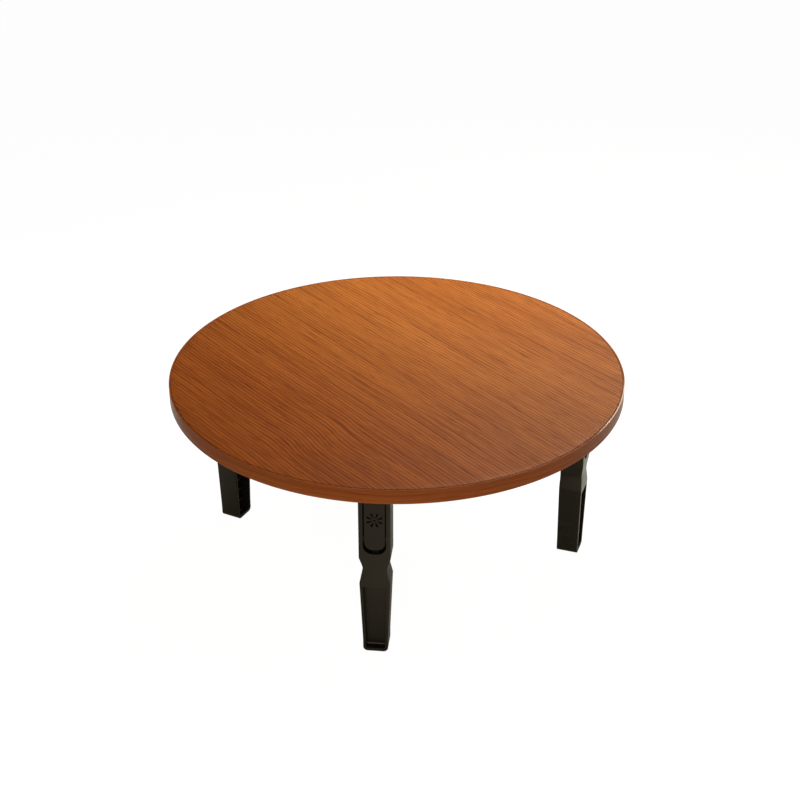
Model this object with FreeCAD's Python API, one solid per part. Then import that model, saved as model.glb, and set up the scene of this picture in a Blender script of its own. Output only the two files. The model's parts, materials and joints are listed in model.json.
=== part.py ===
import FreeCAD, Part
import math
import os

from FreeCAD import Vector

# A round low table on four moulded legs that fold in under its veneered top.
# Millimetres. The origin is on the floor under the top's centre, +Z is up and -Y is the front.
# A leg's pieces are drawn in the leg's own frame, at the floor's heights: the hinge pin crosses
# the vertical Z axis along Y, and +X points out through the leg's front face.

# The whole table
TOP_DIAMETER = 800.0
TABLE_HEIGHT = 358.0
TOP_THICK = 25.0
CUT_OVERRUN = 6.0  # how far every cut runs past the faces that it opens

# The top, a core board between a veneer and a balancing sheet, in a bent edge band
VENEER_THICK = 1.0
SHEET_THICK = 1.0
BAND_THICK = 3.2
BAND_TOP_ROUND = 1.6
BAND_FOOT_ROUND = 1.2
BAND_INNER_BEVEL = 0.4
GLUE_LINE = 0.05
JOINT_LINE = 0.3  # the thin dark line between the veneer and the band

# Where the legs stand: degrees round the table, and the way that the leg's front faces
LEG_INSET = 77.5  # from the rim to the hinge pin
LEG_ANGLES = {
    "front": (-90.0, -90.0),
    "right": (1.0, -13.0),
    "back": (94.0, 92.0),
    "left": (170.0, 158.5),
}

# The leg's outside. A drop is measured down from the underside of the top.
HEAD_WIDTH = 52.5
HEAD_DROP = 143.5
HEAD_ROUND = 7.0
HEAD_FRONT_ROUND = 2.5
LEG_FRONT = 21.0  # from the hinge pin out to the front face
LEG_BACK = 22.0  # from the hinge pin in to the back edges
WAIST_DROP = 166.0
WAIST_WIDTH = 38.2  # where the waist's slopes would meet; its arc leaves the leg a little wider
WAIST_ROUND = 33.0
WAIST_DISH = 2.7  # how far the front face dips at the waist
DISH_ROUND = 42.0
CALF_DROP = 193.5
CALF_WIDTH = 51.6
CALF_ROUND = 9.0
CALF_FRONT = 20.6
ANKLE_HEIGHT = 25.0
ANKLE_ROUND = 60.0
FOOT_WIDTH = 42.2
FOOT_FRONT = 19.0
FOOT_BACK = 19.6
FOOT_CORNER = 8.0
LEG_EDGE_ROUND = 1.4

# The leg's walls, its open back and the recess in its front
LEG_WALL = 3.5
FOOT_PLATE = 3.0
CAVITY_ROUND = 2.5
RECESS_DROP = 200.5
RECESS_SLANT = 9.0  # how far the recess's sloping top end drops
RECESS_DEPTH = 13.6
RECESS_RIM = 5.0
RECESS_ROUND = 3.0
RIB_COUNT = 4
RIB_THICK = 2.0
RIB_DEPTH = 12.0
SHIELD_FRONT = 3.0  # the cross wall behind the latch spring, out from the hinge pin
SHIELD_THICK = 2.0
SHIELD_FOOT_DROP = 152.0
SHIELD_CLEAR = 22.0  # from the hinge pin down to the wall's top, past the bracket's sweep
DRIVER_HOLE_RADIUS = 4.5  # in the wall, in line with the latch screw

# The window in the leg's head and the release tongue in it
WINDOW_DROP = 22.0  # the window's top edge
WINDOW_RIM = 7.0
WINDOW_FOOT_DROP = 134.5
WINDOW_CORNER = 16.0
WINDOW_TOP_ROUND = 3.0
TONGUE_GAP = 1.5
TONGUE_FOOT_GAP = 6.6
TONGUE_THICK = 2.4
TONGUE_SINK = 1.8  # how far the tongue's face lies behind the leg's
TONGUE_BEVEL = 1.0
BARREL_RADIUS = 2.9
BARREL_SINK = 0.9  # how deep the hinge barrel sits in the tongue's plate
BARREL_INSET = 0.8
TONGUE_HINGE_DROP = 38.0
EAR_OVERLAP = 2.0  # how far the stop ears reach behind the window's rims
EAR_THICK = 2.8
EAR_HEIGHT = 7.0
EAR_RISE = 18.0  # from the tongue's foot up to the ears
EAR_ROOT = 7.0
EAR_CLEARANCE = 0.3
PUSHER_DROP = 48.0  # from the tongue's hinge down to the rib that pushes the spring
PUSHER_WIDTH = 8.0
PUSHER_HEIGHT = 6.0
PUSHER_ROUND = 2.0
PUSHER_CLEARANCE = 0.2

# The pierced flower figure in the tongue
FLOWER_DROP = 69.5
PETAL_COUNT = 8
PETAL_START = 4.6
PETAL_END = 14.0
PETAL_ROOT_WIDTH = 1.5
PETAL_TIP_WIDTH = 4.2
EYE_RADIUS = 2.0

# The tongue's pin
TONGUE_PIN_RADIUS = 1.5
RUNNING_FIT = 0.05  # radial clearance of what turns on a pin
PRESS_FIT = 0.02  # radial clearance drawn for what is pressed or screwed in

# The folding bracket under the top
PLATE_THICK = 3.0
PLATE_WIDTH = 52.0
SCREW_LAND = 15.75  # how far the plate reaches past each flank of the leg, for its screws
SCREW_EDGE = 8.0  # from the plate's long edges in to the screws
PLATE_CORNER = 6.0
CHEEK_THICK = 2.5
CHEEK_CLEARANCE = 0.3  # beside the leg's flanks
STOP_CLEARANCE = 0.3  # where the leg's front wall comes to rest on the cheeks
FOLD_CLEARANCE = 1.0  # between the plate and the leg's back edges
LEDGE_DROP = 4.5  # from the hinge pin's axis down to the ledge that the latch hooks
LEDGE_THICK = 3.0
LEDGE_WIDTH = 3.5

# The hinge pin, with a riveted head outside each flank
HINGE_PIN_RADIUS = 4.0
HINGE_HEAD_RADIUS = 6.5
HINGE_HEAD_HEIGHT = 1.6
HINGE_HEAD_ROUND = 1.2
HINGE_HEAD_CLEARANCE = 0.15

# The wood screws
SCREW_RADIUS = 2.0
SCREW_HOLE_RADIUS = 2.3
SCREW_LENGTH = 18.0
SCREW_TIP = 3.0
SCREW_HEAD_RADIUS = 4.0
SCREW_HEAD_HEIGHT = 2.4
SCREW_HEAD_ROUND = 1.6
SCREW_SPARE_DEPTH = 1.0

# The latch spring, its boss and its screw
SPRING_THICK = 0.8
SPRING_WIDTH = 12.0
SPRING_BEND = 0.5
SPRING_TAIL = 6.5  # below its screw
LATCH_HOOK = 3.2  # how far the hook reaches over the ledge
LATCH_CLEARANCE = 0.3
LATCH_SCREW_DROP = 142.0
LATCH_BOSS_WIDTH = 14.0
LATCH_BOSS_HEIGHT = 12.0
LATCH_SCREW_RADIUS = 1.5
LATCH_SCREW_LENGTH = 6.0
LATCH_HEAD_RADIUS = 2.9
LATCH_HEAD_HEIGHT = 1.8
LATCH_HEAD_ROUND = 0.9
LATCH_HOLE_RADIUS = 1.7

# The foot pad
PAD_THICK = 3.5
STEM_RADIUS = 4.0
STEM_HEIGHT = 7.0
STEM_BEVEL = 0.8

# Heights and places that follow from the sizes above
TOP_RADIUS = TOP_DIAMETER / 2
UNDERSIDE = TABLE_HEIGHT - TOP_THICK
PLATE_FACE = UNDERSIDE - PLATE_THICK
HEAD_TOP = PLATE_FACE - FOLD_CLEARANCE
PIVOT_HEIGHT = HEAD_TOP - LEG_BACK
PIVOT_RING = TOP_RADIUS - LEG_INSET
FOOT_TOP = PAD_THICK + FOOT_PLATE
HEAD_FOOT = UNDERSIDE - HEAD_DROP
WAIST_HEIGHT = UNDERSIDE - WAIST_DROP
CALF_HEIGHT = UNDERSIDE - CALF_DROP
RECESS_TOP = UNDERSIDE - RECESS_DROP
WEB_FRONT = CALF_FRONT - RECESS_DEPTH
WEB_BACK = WEB_FRONT - LEG_WALL
FRONT_WALL = LEG_FRONT - LEG_WALL  # the inner side of the head's front wall
PLATE_LENGTH = HEAD_WIDTH + 2 * SCREW_LAND
CHEEK_REACH = FRONT_WALL - STOP_CLEARANCE
CHEEK_OUTSIDE = HEAD_WIDTH / 2 - LEG_WALL - CHEEK_CLEARANCE
CHEEK_INSIDE = CHEEK_OUTSIDE - CHEEK_THICK
WINDOW_HALF = HEAD_WIDTH / 2 - WINDOW_RIM
WINDOW_FOOT = UNDERSIDE - WINDOW_FOOT_DROP
WINDOW_TOP = UNDERSIDE - WINDOW_DROP
TONGUE_HALF = WINDOW_HALF - TONGUE_GAP
TONGUE_FOOT = WINDOW_FOOT + TONGUE_FOOT_GAP
TONGUE_TOP = WINDOW_TOP - TONGUE_GAP
TONGUE_FRONT = LEG_FRONT - TONGUE_SINK
TONGUE_BACK = TONGUE_FRONT - TONGUE_THICK
TONGUE_PIN_X = TONGUE_BACK - BARREL_RADIUS + BARREL_SINK
TONGUE_PIN_HEIGHT = UNDERSIDE - TONGUE_HINGE_DROP
LEDGE_TOP = PIVOT_HEIGHT - LEDGE_DROP
LEDGE_FRONT = CHEEK_REACH - LEDGE_THICK
LEDGE_BACK = LEDGE_FRONT - LEDGE_WIDTH
SPRING_FRONT = LEDGE_BACK - LATCH_CLEARANCE
SPRING_BACK = SPRING_FRONT - SPRING_THICK
LATCH_SCREW_HEIGHT = UNDERSIDE - LATCH_SCREW_DROP
CORE_RADIUS = TOP_RADIUS - BAND_THICK - GLUE_LINE
SKIN_RADIUS = TOP_RADIUS - BAND_THICK - JOINT_LINE


def rounded_wire(corners, to_space):
    """A closed wire through corners (a, b, radius), each corner turned by an arc."""
    count = len(corners)
    points = [Vector(a, b, 0) for a, b, _ in corners]
    sides = [points[(i + 1) % count] - points[i] for i in range(count)]
    reaches = []
    for i in range(count):
        half_turn = sides[i - 1].getAngle(sides[i]) / 2
        reaches.append(corners[i][2] * math.tan(half_turn))
    marks = []  # where each corner's arc begins, its middle, and where it ends
    for i in range(count):
        into = Vector(sides[i - 1]).normalize()
        out = Vector(sides[i]).normalize()
        room = min(
            sides[i - 1].Length / max(reaches[i - 1] + reaches[i], sides[i - 1].Length),
            sides[i].Length / max(reaches[i] + reaches[(i + 1) % count], sides[i].Length),
        )
        reach = reaches[i] * room
        first, last = points[i] - into * reach, points[i] + out * reach
        if reach > 0:
            half_turn = into.getAngle(out) / 2
            radius = reach / math.tan(half_turn)
            inward = Vector(out - into).normalize()
            middle = points[i] + inward * (radius / math.cos(half_turn) - radius)
        else:
            middle = None
        marks.append((first, middle, last))
    edges = []
    for i in range(count):
        first, middle, last = marks[i]
        if middle is not None:
            edges.append(Part.Arc(to_space(first), to_space(middle), to_space(last)).toShape())
        following = marks[(i + 1) % count][0]
        if not last.isEqual(following, Part.Precision.confusion()):
            edges.append(Part.LineSegment(to_space(last), to_space(following)).toShape())
    return Part.Wire(Part.__sortEdges__(edges))


def across_y(corners, low, high):
    """A solid with the outline (x, z, radius), from y = low to y = high."""
    wire = rounded_wire(corners, lambda p: Vector(p.x, low, p.y))
    return Part.Face(wire).extrude(Vector(0, high - low, 0))


def along_x(corners, low, high):
    """A solid with the outline (y, z, radius), from x = low to x = high."""
    wire = rounded_wire(corners, lambda p: Vector(low, p.x, p.y))
    return Part.Face(wire).extrude(Vector(high - low, 0, 0))


def along_z(corners, low, high):
    """A solid with the outline (x, y, radius), from z = low to z = high."""
    wire = rounded_wire(corners, lambda p: Vector(p.x, p.y, low))
    return Part.Face(wire).extrude(Vector(0, 0, high - low))


def turned(corners):
    """A solid turned about Z from the outline (distance from the axis, z, radius)."""
    wire = rounded_wire(corners, lambda p: Vector(p.x, 0, p.y))
    return Part.Face(wire).revolve(Vector(0, 0, 0), Vector(0, 0, 1), 360)


def rod_y(radius, x, z, low, high):
    return Part.makeCylinder(radius, high - low, Vector(x, low, z), Vector(0, 1, 0))


def box(x_low, x_high, y_low, y_high, z_low, z_high):
    size = (x_high - x_low, y_high - y_low, z_high - z_low)
    return Part.makeBox(*size, Vector(x_low, y_low, z_low))


def mirrored(half_rows):
    """A symmetrical outline from rows (half width, height, radius) up its right side."""
    left = [(-a, b, radius) for a, b, radius in reversed(half_rows)]
    return list(half_rows) + left


def placed(shape, name):
    """A leg's piece, turned to its facing and set on the ring of hinge pins."""
    azimuth, facing = LEG_ANGLES[name]
    there = shape.copy()
    there.rotate(Vector(0, 0, 0), Vector(0, 0, 1), facing)
    ring = math.radians(azimuth)
    there.translate(Vector(PIVOT_RING * math.cos(ring), PIVOT_RING * math.sin(ring), 0))
    return there


def leg_widths(inset, foot, top):
    """The leg's front outline, drawn in by inset, between two heights."""
    return mirrored([
        (FOOT_WIDTH / 2 - inset, foot, max(FOOT_CORNER - inset, CAVITY_ROUND)),
        (FOOT_WIDTH / 2 - inset, ANKLE_HEIGHT, ANKLE_ROUND),
        (CALF_WIDTH / 2 - inset, CALF_HEIGHT, CALF_ROUND - inset),
        (WAIST_WIDTH / 2 - inset, WAIST_HEIGHT, WAIST_ROUND + inset),
        (HEAD_WIDTH / 2 - inset, HEAD_FOOT, HEAD_ROUND),
        (HEAD_WIDTH / 2 - inset, top, 0),
    ])


def leg_block():
    """The leg's outside, foot pad included, with its long front edges rounded."""
    side = [
        (FOOT_FRONT, 0, 0),
        (CALF_FRONT, CALF_HEIGHT, CALF_ROUND),
        (LEG_FRONT - WAIST_DISH, WAIST_HEIGHT, DISH_ROUND),
        (LEG_FRONT, HEAD_FOOT, HEAD_ROUND),
        (LEG_FRONT, HEAD_TOP, HEAD_FRONT_ROUND),
        (-LEG_BACK, HEAD_TOP, LEG_BACK),
        (-LEG_BACK, PIVOT_HEIGHT, 0),
        (-FOOT_BACK, 0, 0),
    ]
    half = HEAD_WIDTH / 2 + CUT_OVERRUN
    block = across_y(side, -half, half)
    front = along_x(leg_widths(0, 0, HEAD_TOP + CUT_OVERRUN), -LEG_BACK - CUT_OVERRUN,
                    LEG_FRONT + CUT_OVERRUN)
    block = block.common(front)
    long_edges = []
    for edge in block.Edges:
        middle = edge.BoundBox.Center
        at_side = abs(middle.y) > WAIST_WIDTH / 2 - CUT_OVERRUN
        upright = edge.BoundBox.ZLength > edge.BoundBox.XLength
        if upright and at_side and middle.x > WEB_FRONT:
            long_edges.append(edge)
    return block.makeFillet(LEG_EDGE_ROUND, long_edges).Solids[0]


def leg_cavity():
    """The hollow that is open at the leg's back and at the top of its head."""
    run = CALF_FRONT - WEB_FRONT
    lift = LEG_WALL * math.hypot(run, RECESS_SLANT) / run
    slope_foot = RECESS_TOP + lift - RECESS_SLANT * (CALF_FRONT - WEB_BACK) / run
    slope_head = RECESS_TOP + lift - RECESS_SLANT * LEG_WALL / run
    beyond = -LEG_BACK - CUT_OVERRUN
    side = [
        (beyond, FOOT_TOP, 0),
        (WEB_BACK, FOOT_TOP, CAVITY_ROUND),
        (WEB_BACK, slope_foot, CAVITY_ROUND),
        (CALF_FRONT - LEG_WALL, slope_head, CAVITY_ROUND),
        (LEG_FRONT - WAIST_DISH - LEG_WALL, WAIST_HEIGHT, DISH_ROUND),
        (FRONT_WALL, HEAD_FOOT, HEAD_ROUND),
        (FRONT_WALL, HEAD_TOP + CUT_OVERRUN, 0),
        (beyond, HEAD_TOP + CUT_OVERRUN, 0),
    ]
    half = HEAD_WIDTH / 2
    widths = leg_widths(LEG_WALL, FOOT_TOP, HEAD_TOP + CUT_OVERRUN)
    return across_y(side, -half, half).common(along_x(widths, beyond, LEG_FRONT))


def leg_recess():
    """The deep recess in the lower half's front face, with a sloping top end."""
    beyond = LEG_FRONT + CUT_OVERRUN
    slope = RECESS_SLANT / RECESS_DEPTH
    side = [
        (WEB_FRONT, FOOT_TOP, RECESS_ROUND),
        (beyond, FOOT_TOP, 0),
        (beyond, RECESS_TOP + slope * (beyond - CALF_FRONT), 0),
        (WEB_FRONT, RECESS_TOP - RECESS_SLANT, RECESS_ROUND),
    ]
    half = HEAD_WIDTH / 2
    widths = leg_widths(RECESS_RIM, FOOT_TOP, HEAD_TOP)
    return across_y(side, -half, half).common(along_x(widths, 0, beyond))


def tongue_window():
    """The U-shaped window in the head's front wall."""
    rows = [
        (WINDOW_HALF, WINDOW_FOOT, WINDOW_CORNER),
        (WINDOW_HALF, WINDOW_TOP, WINDOW_TOP_ROUND),
    ]
    return along_x(mirrored(rows), TONGUE_PIN_X, LEG_FRONT + CUT_OVERRUN)


def leg_ribs():
    """Cross ribs behind the web, evenly spaced up the lower half."""
    half = HEAD_WIDTH / 2
    foot, head = FOOT_TOP, RECESS_TOP - RECESS_SLANT
    ribs = []
    for i in range(RIB_COUNT):
        middle = foot + (head - foot) * (i + 1) / (RIB_COUNT + 1)
        low = middle - RIB_THICK / 2
        ribs.append(box(WEB_BACK - RIB_DEPTH, WEB_FRONT, -half, half, low, low + RIB_THICK))
    return ribs


def shield():
    """The cross wall behind the latch spring, with a hole to reach the latch screw."""
    half = HEAD_WIDTH / 2
    wall = box(SHIELD_FRONT - SHIELD_THICK, SHIELD_FRONT, -half, half,
               UNDERSIDE - SHIELD_FOOT_DROP, PIVOT_HEIGHT - SHIELD_CLEAR)
    return wall.cut(Part.makeCylinder(DRIVER_HOLE_RADIUS, SHIELD_FRONT,
                                      Vector(0, 0, LATCH_SCREW_HEIGHT), Vector(1, 0, 0)))


def latch_boss():
    """The block in the waist that the latch spring is screwed to."""
    half_width, half_height = LATCH_BOSS_WIDTH / 2, LATCH_BOSS_HEIGHT / 2
    return box(SPRING_FRONT, FRONT_WALL + LEG_WALL / 2, -half_width, half_width,
               LATCH_SCREW_HEIGHT - half_height, LATCH_SCREW_HEIGHT + half_height)


def leg_shell():
    """The moulded leg: a channel open at the back, with a recessed lower front."""
    block = leg_block()
    above_pad = box(-LEG_BACK - CUT_OVERRUN, LEG_FRONT + CUT_OVERRUN, -HEAD_WIDTH, HEAD_WIDTH,
                    PAD_THICK, HEAD_TOP + CUT_OVERRUN)
    outside = block.common(above_pad)
    shell = outside.cut([leg_cavity(), leg_recess()])
    walls = leg_ribs() + [shield()]
    inserts = [wall.common(outside) for wall in walls] + [latch_boss()]
    shell = shell.fuse(inserts).cut(leg_recess())
    half = HEAD_WIDTH / 2 + CUT_OVERRUN
    holes = [
        tongue_window(),
        rod_y(HINGE_PIN_RADIUS + RUNNING_FIT, 0, PIVOT_HEIGHT, -half, half),
        rod_y(TONGUE_PIN_RADIUS + PRESS_FIT, TONGUE_PIN_X, TONGUE_PIN_HEIGHT, -half, half),
        Part.makeCylinder(LATCH_SCREW_RADIUS + PRESS_FIT, LATCH_SCREW_LENGTH,
                          Vector(SPRING_FRONT, 0, LATCH_SCREW_HEIGHT), Vector(1, 0, 0)),
        Part.makeCylinder(STEM_RADIUS + PRESS_FIT, FOOT_PLATE + CUT_OVERRUN,
                          Vector(stem_x(), 0, 0)),
    ]
    return shell.cut(holes).removeSplitter()


def stem_x():
    """The pad's stem stands in the middle of the leg's hollow."""
    return (WEB_BACK - FOOT_BACK) / 2


def foot_pad():
    """The rubber pad under the leg, with a stem that plugs into the foot plate."""
    slab = box(-LEG_BACK, LEG_FRONT, -HEAD_WIDTH, HEAD_WIDTH, 0, PAD_THICK)
    pad = leg_block().common(slab)
    top = PAD_THICK + STEM_HEIGHT
    stem = Part.makeCylinder(STEM_RADIUS, top - PAD_THICK / 2, Vector(stem_x(), 0, PAD_THICK / 2))
    rim = [edge for edge in stem.Edges if edge.BoundBox.ZMin > PAD_THICK]
    return pad.fuse(stem.makeChamfer(STEM_BEVEL, rim)).removeSplitter()


def petal(index):
    """One pierced petal, wider at its tip, pointing away from the flower's eye."""
    outline = [
        (-PETAL_ROOT_WIDTH / 2, PETAL_START, PETAL_ROOT_WIDTH / 2),
        (PETAL_ROOT_WIDTH / 2, PETAL_START, PETAL_ROOT_WIDTH / 2),
        (PETAL_TIP_WIDTH / 2, PETAL_END, PETAL_TIP_WIDTH / 2),
        (-PETAL_TIP_WIDTH / 2, PETAL_END, PETAL_TIP_WIDTH / 2),
    ]
    shape = along_x(outline, TONGUE_BACK - TONGUE_THICK, LEG_FRONT)
    shape.rotate(Vector(0, 0, 0), Vector(1, 0, 0), 360 * (index + 0.5) / PETAL_COUNT)
    shape.translate(Vector(0, 0, UNDERSIDE - FLOWER_DROP))
    return shape


def release_tongue():
    """The press tongue: a U plate with a hinge barrel, two stop ears and a pusher."""
    rows = [
        (TONGUE_HALF, TONGUE_FOOT, WINDOW_CORNER - TONGUE_GAP),
        (TONGUE_HALF, TONGUE_TOP, WINDOW_TOP_ROUND),
    ]
    plate = along_x(mirrored(rows), TONGUE_BACK, TONGUE_FRONT)
    rim = [edge for edge in plate.Edges if edge.BoundBox.XMin > TONGUE_BACK]
    plate = plate.makeChamfer(TONGUE_BEVEL, rim)
    barrel_half = TONGUE_HALF - BARREL_INSET
    barrel = rod_y(BARREL_RADIUS, TONGUE_PIN_X, TONGUE_PIN_HEIGHT, -barrel_half, barrel_half)
    ear_front = FRONT_WALL - EAR_CLEARANCE
    ear_foot = TONGUE_FOOT + EAR_RISE
    ear_reach = WINDOW_HALF + EAR_OVERLAP
    ears = []
    for side in (-1, 1):
        ends = sorted((side * (TONGUE_HALF - EAR_ROOT), side * ear_reach))
        ears.append(box(ear_front - EAR_THICK, ear_front, *ends, ear_foot, ear_foot + EAR_HEIGHT))
    pusher_middle = TONGUE_PIN_HEIGHT - PUSHER_DROP
    low, high = pusher_middle - PUSHER_HEIGHT / 2, pusher_middle + PUSHER_HEIGHT / 2
    tip = SPRING_FRONT + PUSHER_CLEARANCE
    pusher = across_y([
        (TONGUE_BACK + BARREL_SINK, low, 0),
        (TONGUE_BACK + BARREL_SINK, high, 0),
        (tip, high, PUSHER_ROUND),
        (tip, low, PUSHER_ROUND),
    ], -PUSHER_WIDTH / 2, PUSHER_WIDTH / 2)
    tongue = plate.fuse([barrel, pusher] + ears)
    eye = Part.makeCylinder(EYE_RADIUS, LEG_FRONT - TONGUE_PIN_X,
                            Vector(TONGUE_PIN_X, 0, UNDERSIDE - FLOWER_DROP), Vector(1, 0, 0))
    bore = rod_y(TONGUE_PIN_RADIUS + RUNNING_FIT, TONGUE_PIN_X, TONGUE_PIN_HEIGHT,
                 -WINDOW_HALF, WINDOW_HALF)
    return tongue.cut([petal(i) for i in range(PETAL_COUNT)] + [eye, bore]).removeSplitter()


def tongue_pin():
    half = HEAD_WIDTH / 2
    return rod_y(TONGUE_PIN_RADIUS, TONGUE_PIN_X, TONGUE_PIN_HEIGHT, -half, half)


def latch_spring():
    """A steel strip screwed to the leg's boss, bent over at its top into the latch hook."""
    foot = LATCH_SCREW_HEIGHT - SPRING_TAIL
    hook_low = LEDGE_TOP + LATCH_CLEARANCE
    hook_high = hook_low + SPRING_THICK
    tip = LEDGE_BACK + LATCH_HOOK
    strip = across_y([
        (SPRING_BACK, foot, 0),
        (SPRING_FRONT, foot, 0),
        (SPRING_FRONT, hook_low, SPRING_BEND),
        (tip, hook_low, 0),
        (tip, hook_high, 0),
        (SPRING_BACK, hook_high, SPRING_BEND + SPRING_THICK),
    ], -SPRING_WIDTH / 2, SPRING_WIDTH / 2)
    hole = Part.makeCylinder(LATCH_HOLE_RADIUS, SPRING_THICK + CUT_OVERRUN,
                             Vector(SPRING_BACK - CUT_OVERRUN / 2, 0, LATCH_SCREW_HEIGHT),
                             Vector(1, 0, 0))
    return strip.cut(hole)


def latch_screw():
    """The screw that holds the spring, its head behind the strip."""
    screw = turned([
        (0, -LATCH_HEAD_HEIGHT, 0),
        (LATCH_HEAD_RADIUS, -LATCH_HEAD_HEIGHT, LATCH_HEAD_ROUND),
        (LATCH_HEAD_RADIUS, 0, 0),
        (LATCH_SCREW_RADIUS, 0, 0),
        (LATCH_SCREW_RADIUS, LATCH_SCREW_LENGTH, 0),
        (0, LATCH_SCREW_LENGTH, 0),
    ])
    screw.rotate(Vector(0, 0, 0), Vector(0, 1, 0), 90)
    screw.translate(Vector(SPRING_BACK, 0, LATCH_SCREW_HEIGHT))
    return screw


def hinge_bracket():
    """A screwed base plate with two round-ended cheeks and the latch's ledge between them."""
    half_length, half_width = PLATE_LENGTH / 2, PLATE_WIDTH / 2
    plate = along_z([
        (half_width, -half_length, PLATE_CORNER),
        (half_width, half_length, PLATE_CORNER),
        (-half_width, half_length, PLATE_CORNER),
        (-half_width, -half_length, PLATE_CORNER),
    ], PLATE_FACE, UNDERSIDE)
    cheek = [
        (CHEEK_REACH, PIVOT_HEIGHT - CHEEK_REACH, CHEEK_REACH),
        (CHEEK_REACH, PLATE_FACE + PLATE_THICK / 2, 0),
        (-CHEEK_REACH, PLATE_FACE + PLATE_THICK / 2, 0),
        (-CHEEK_REACH, PIVOT_HEIGHT - CHEEK_REACH, CHEEK_REACH),
    ]
    cheeks = [across_y(cheek, -CHEEK_OUTSIDE, -CHEEK_INSIDE),
              across_y(cheek, CHEEK_INSIDE, CHEEK_OUTSIDE)]
    middle = (CHEEK_INSIDE + CHEEK_OUTSIDE) / 2
    ledge = box(LEDGE_BACK, LEDGE_FRONT, -middle, middle, LEDGE_TOP - LEDGE_THICK, LEDGE_TOP)
    bracket = plate.fuse(cheeks + [ledge])
    holes = [rod_y(HINGE_PIN_RADIUS + PRESS_FIT, 0, PIVOT_HEIGHT, -half_length, half_length)]
    for x, y in screw_places():
        holes.append(Part.makeCylinder(SCREW_HOLE_RADIUS, PLATE_THICK + CUT_OVERRUN,
                                       Vector(x, y, PLATE_FACE - CUT_OVERRUN / 2)))
    return bracket.cut(holes).removeSplitter()


def hinge_pin():
    """The pin through cheeks and flanks, with a riveted head at each end."""
    reach = HEAD_WIDTH / 2 + HINGE_HEAD_CLEARANCE
    end = reach + HINGE_HEAD_HEIGHT
    pin = turned([
        (0, -end, 0),
        (HINGE_HEAD_RADIUS, -end, HINGE_HEAD_ROUND),
        (HINGE_HEAD_RADIUS, -reach, 0),
        (HINGE_PIN_RADIUS, -reach, 0),
        (HINGE_PIN_RADIUS, reach, 0),
        (HINGE_HEAD_RADIUS, reach, 0),
        (HINGE_HEAD_RADIUS, end, HINGE_HEAD_ROUND),
        (0, end, 0),
    ])
    pin.rotate(Vector(0, 0, 0), Vector(1, 0, 0), 90)
    pin.translate(Vector(0, 0, PIVOT_HEIGHT))
    return pin


def screw_places():
    """The four screw holes of a bracket, in the leg's frame."""
    across, along = PLATE_WIDTH / 2 - SCREW_EDGE, (PLATE_LENGTH - SCREW_LAND) / 2
    return [(x, y) for x in (-across, across) for y in (-along, along)]


def wood_screw():
    """A round-headed wood screw, its head under the bracket's plate at z = 0."""
    return turned([
        (0, -SCREW_HEAD_HEIGHT, 0),
        (SCREW_HEAD_RADIUS, -SCREW_HEAD_HEIGHT, SCREW_HEAD_ROUND),
        (SCREW_HEAD_RADIUS, 0, 0),
        (SCREW_RADIUS, 0, 0),
        (SCREW_RADIUS, SCREW_LENGTH - SCREW_TIP, 0),
        (0, SCREW_LENGTH, 0),
    ])


def at_every_screw(shape):
    """Copies of a shape at all the brackets' screws, at the plates' lower face."""
    copies = []
    for name in LEG_ANGLES:
        for x, y in screw_places():
            one = shape.copy()
            one.translate(Vector(x, y, PLATE_FACE))
            copies.append(placed(one, name))
    return copies


def tabletop():
    """The four layers of the top, bored for the brackets' screws."""
    bore_height = SCREW_LENGTH + SCREW_SPARE_DEPTH
    bores = at_every_screw(Part.makeCylinder(SCREW_RADIUS + PRESS_FIT, bore_height))
    core_foot = UNDERSIDE + SHEET_THICK
    core_thick = TOP_THICK - SHEET_THICK - VENEER_THICK
    core = Part.makeCylinder(CORE_RADIUS, core_thick, Vector(0, 0, core_foot))
    sheet = Part.makeCylinder(SKIN_RADIUS, SHEET_THICK, Vector(0, 0, UNDERSIDE))
    veneer = Part.makeCylinder(SKIN_RADIUS, VENEER_THICK,
                               Vector(0, 0, TABLE_HEIGHT - VENEER_THICK))
    inner = TOP_RADIUS - BAND_THICK
    band = turned([
        (inner, UNDERSIDE, 0),
        (TOP_RADIUS, UNDERSIDE, BAND_FOOT_ROUND),
        (TOP_RADIUS, TABLE_HEIGHT, BAND_TOP_ROUND),
        (inner + BAND_INNER_BEVEL, TABLE_HEIGHT, 0),
        (inner, TABLE_HEIGHT - BAND_INNER_BEVEL, 0),
    ])
    return {
        "core_board": core.cut(bores),
        "balancing_sheet": sheet.cut(bores),
        "top_veneer": veneer,
        "edge_band": band,
    }


def build():
    pieces = tabletop()
    pieces["bracket_screws"] = Part.makeCompound(at_every_screw(wood_screw()))
    leg_pieces = {
        "hinge_bracket": hinge_bracket(),
        "hinge_pin": hinge_pin(),
        "leg": leg_shell(),
        "release_tongue": release_tongue(),
        "tongue_pin": tongue_pin(),
        "latch_spring": latch_spring(),
        "latch_screw": latch_screw(),
        "foot_pad": foot_pad(),
    }
    for place in LEG_ANGLES:
        for name, shape in leg_pieces.items():
            pieces[f"{name}_{place}"] = placed(shape, place)
    return pieces


os.makedirs("parts", exist_ok=True)
for name, shape in build().items():
    shape.exportStep(f"parts/{name}.step")
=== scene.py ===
import json
import math
from contextlib import contextmanager

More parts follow.
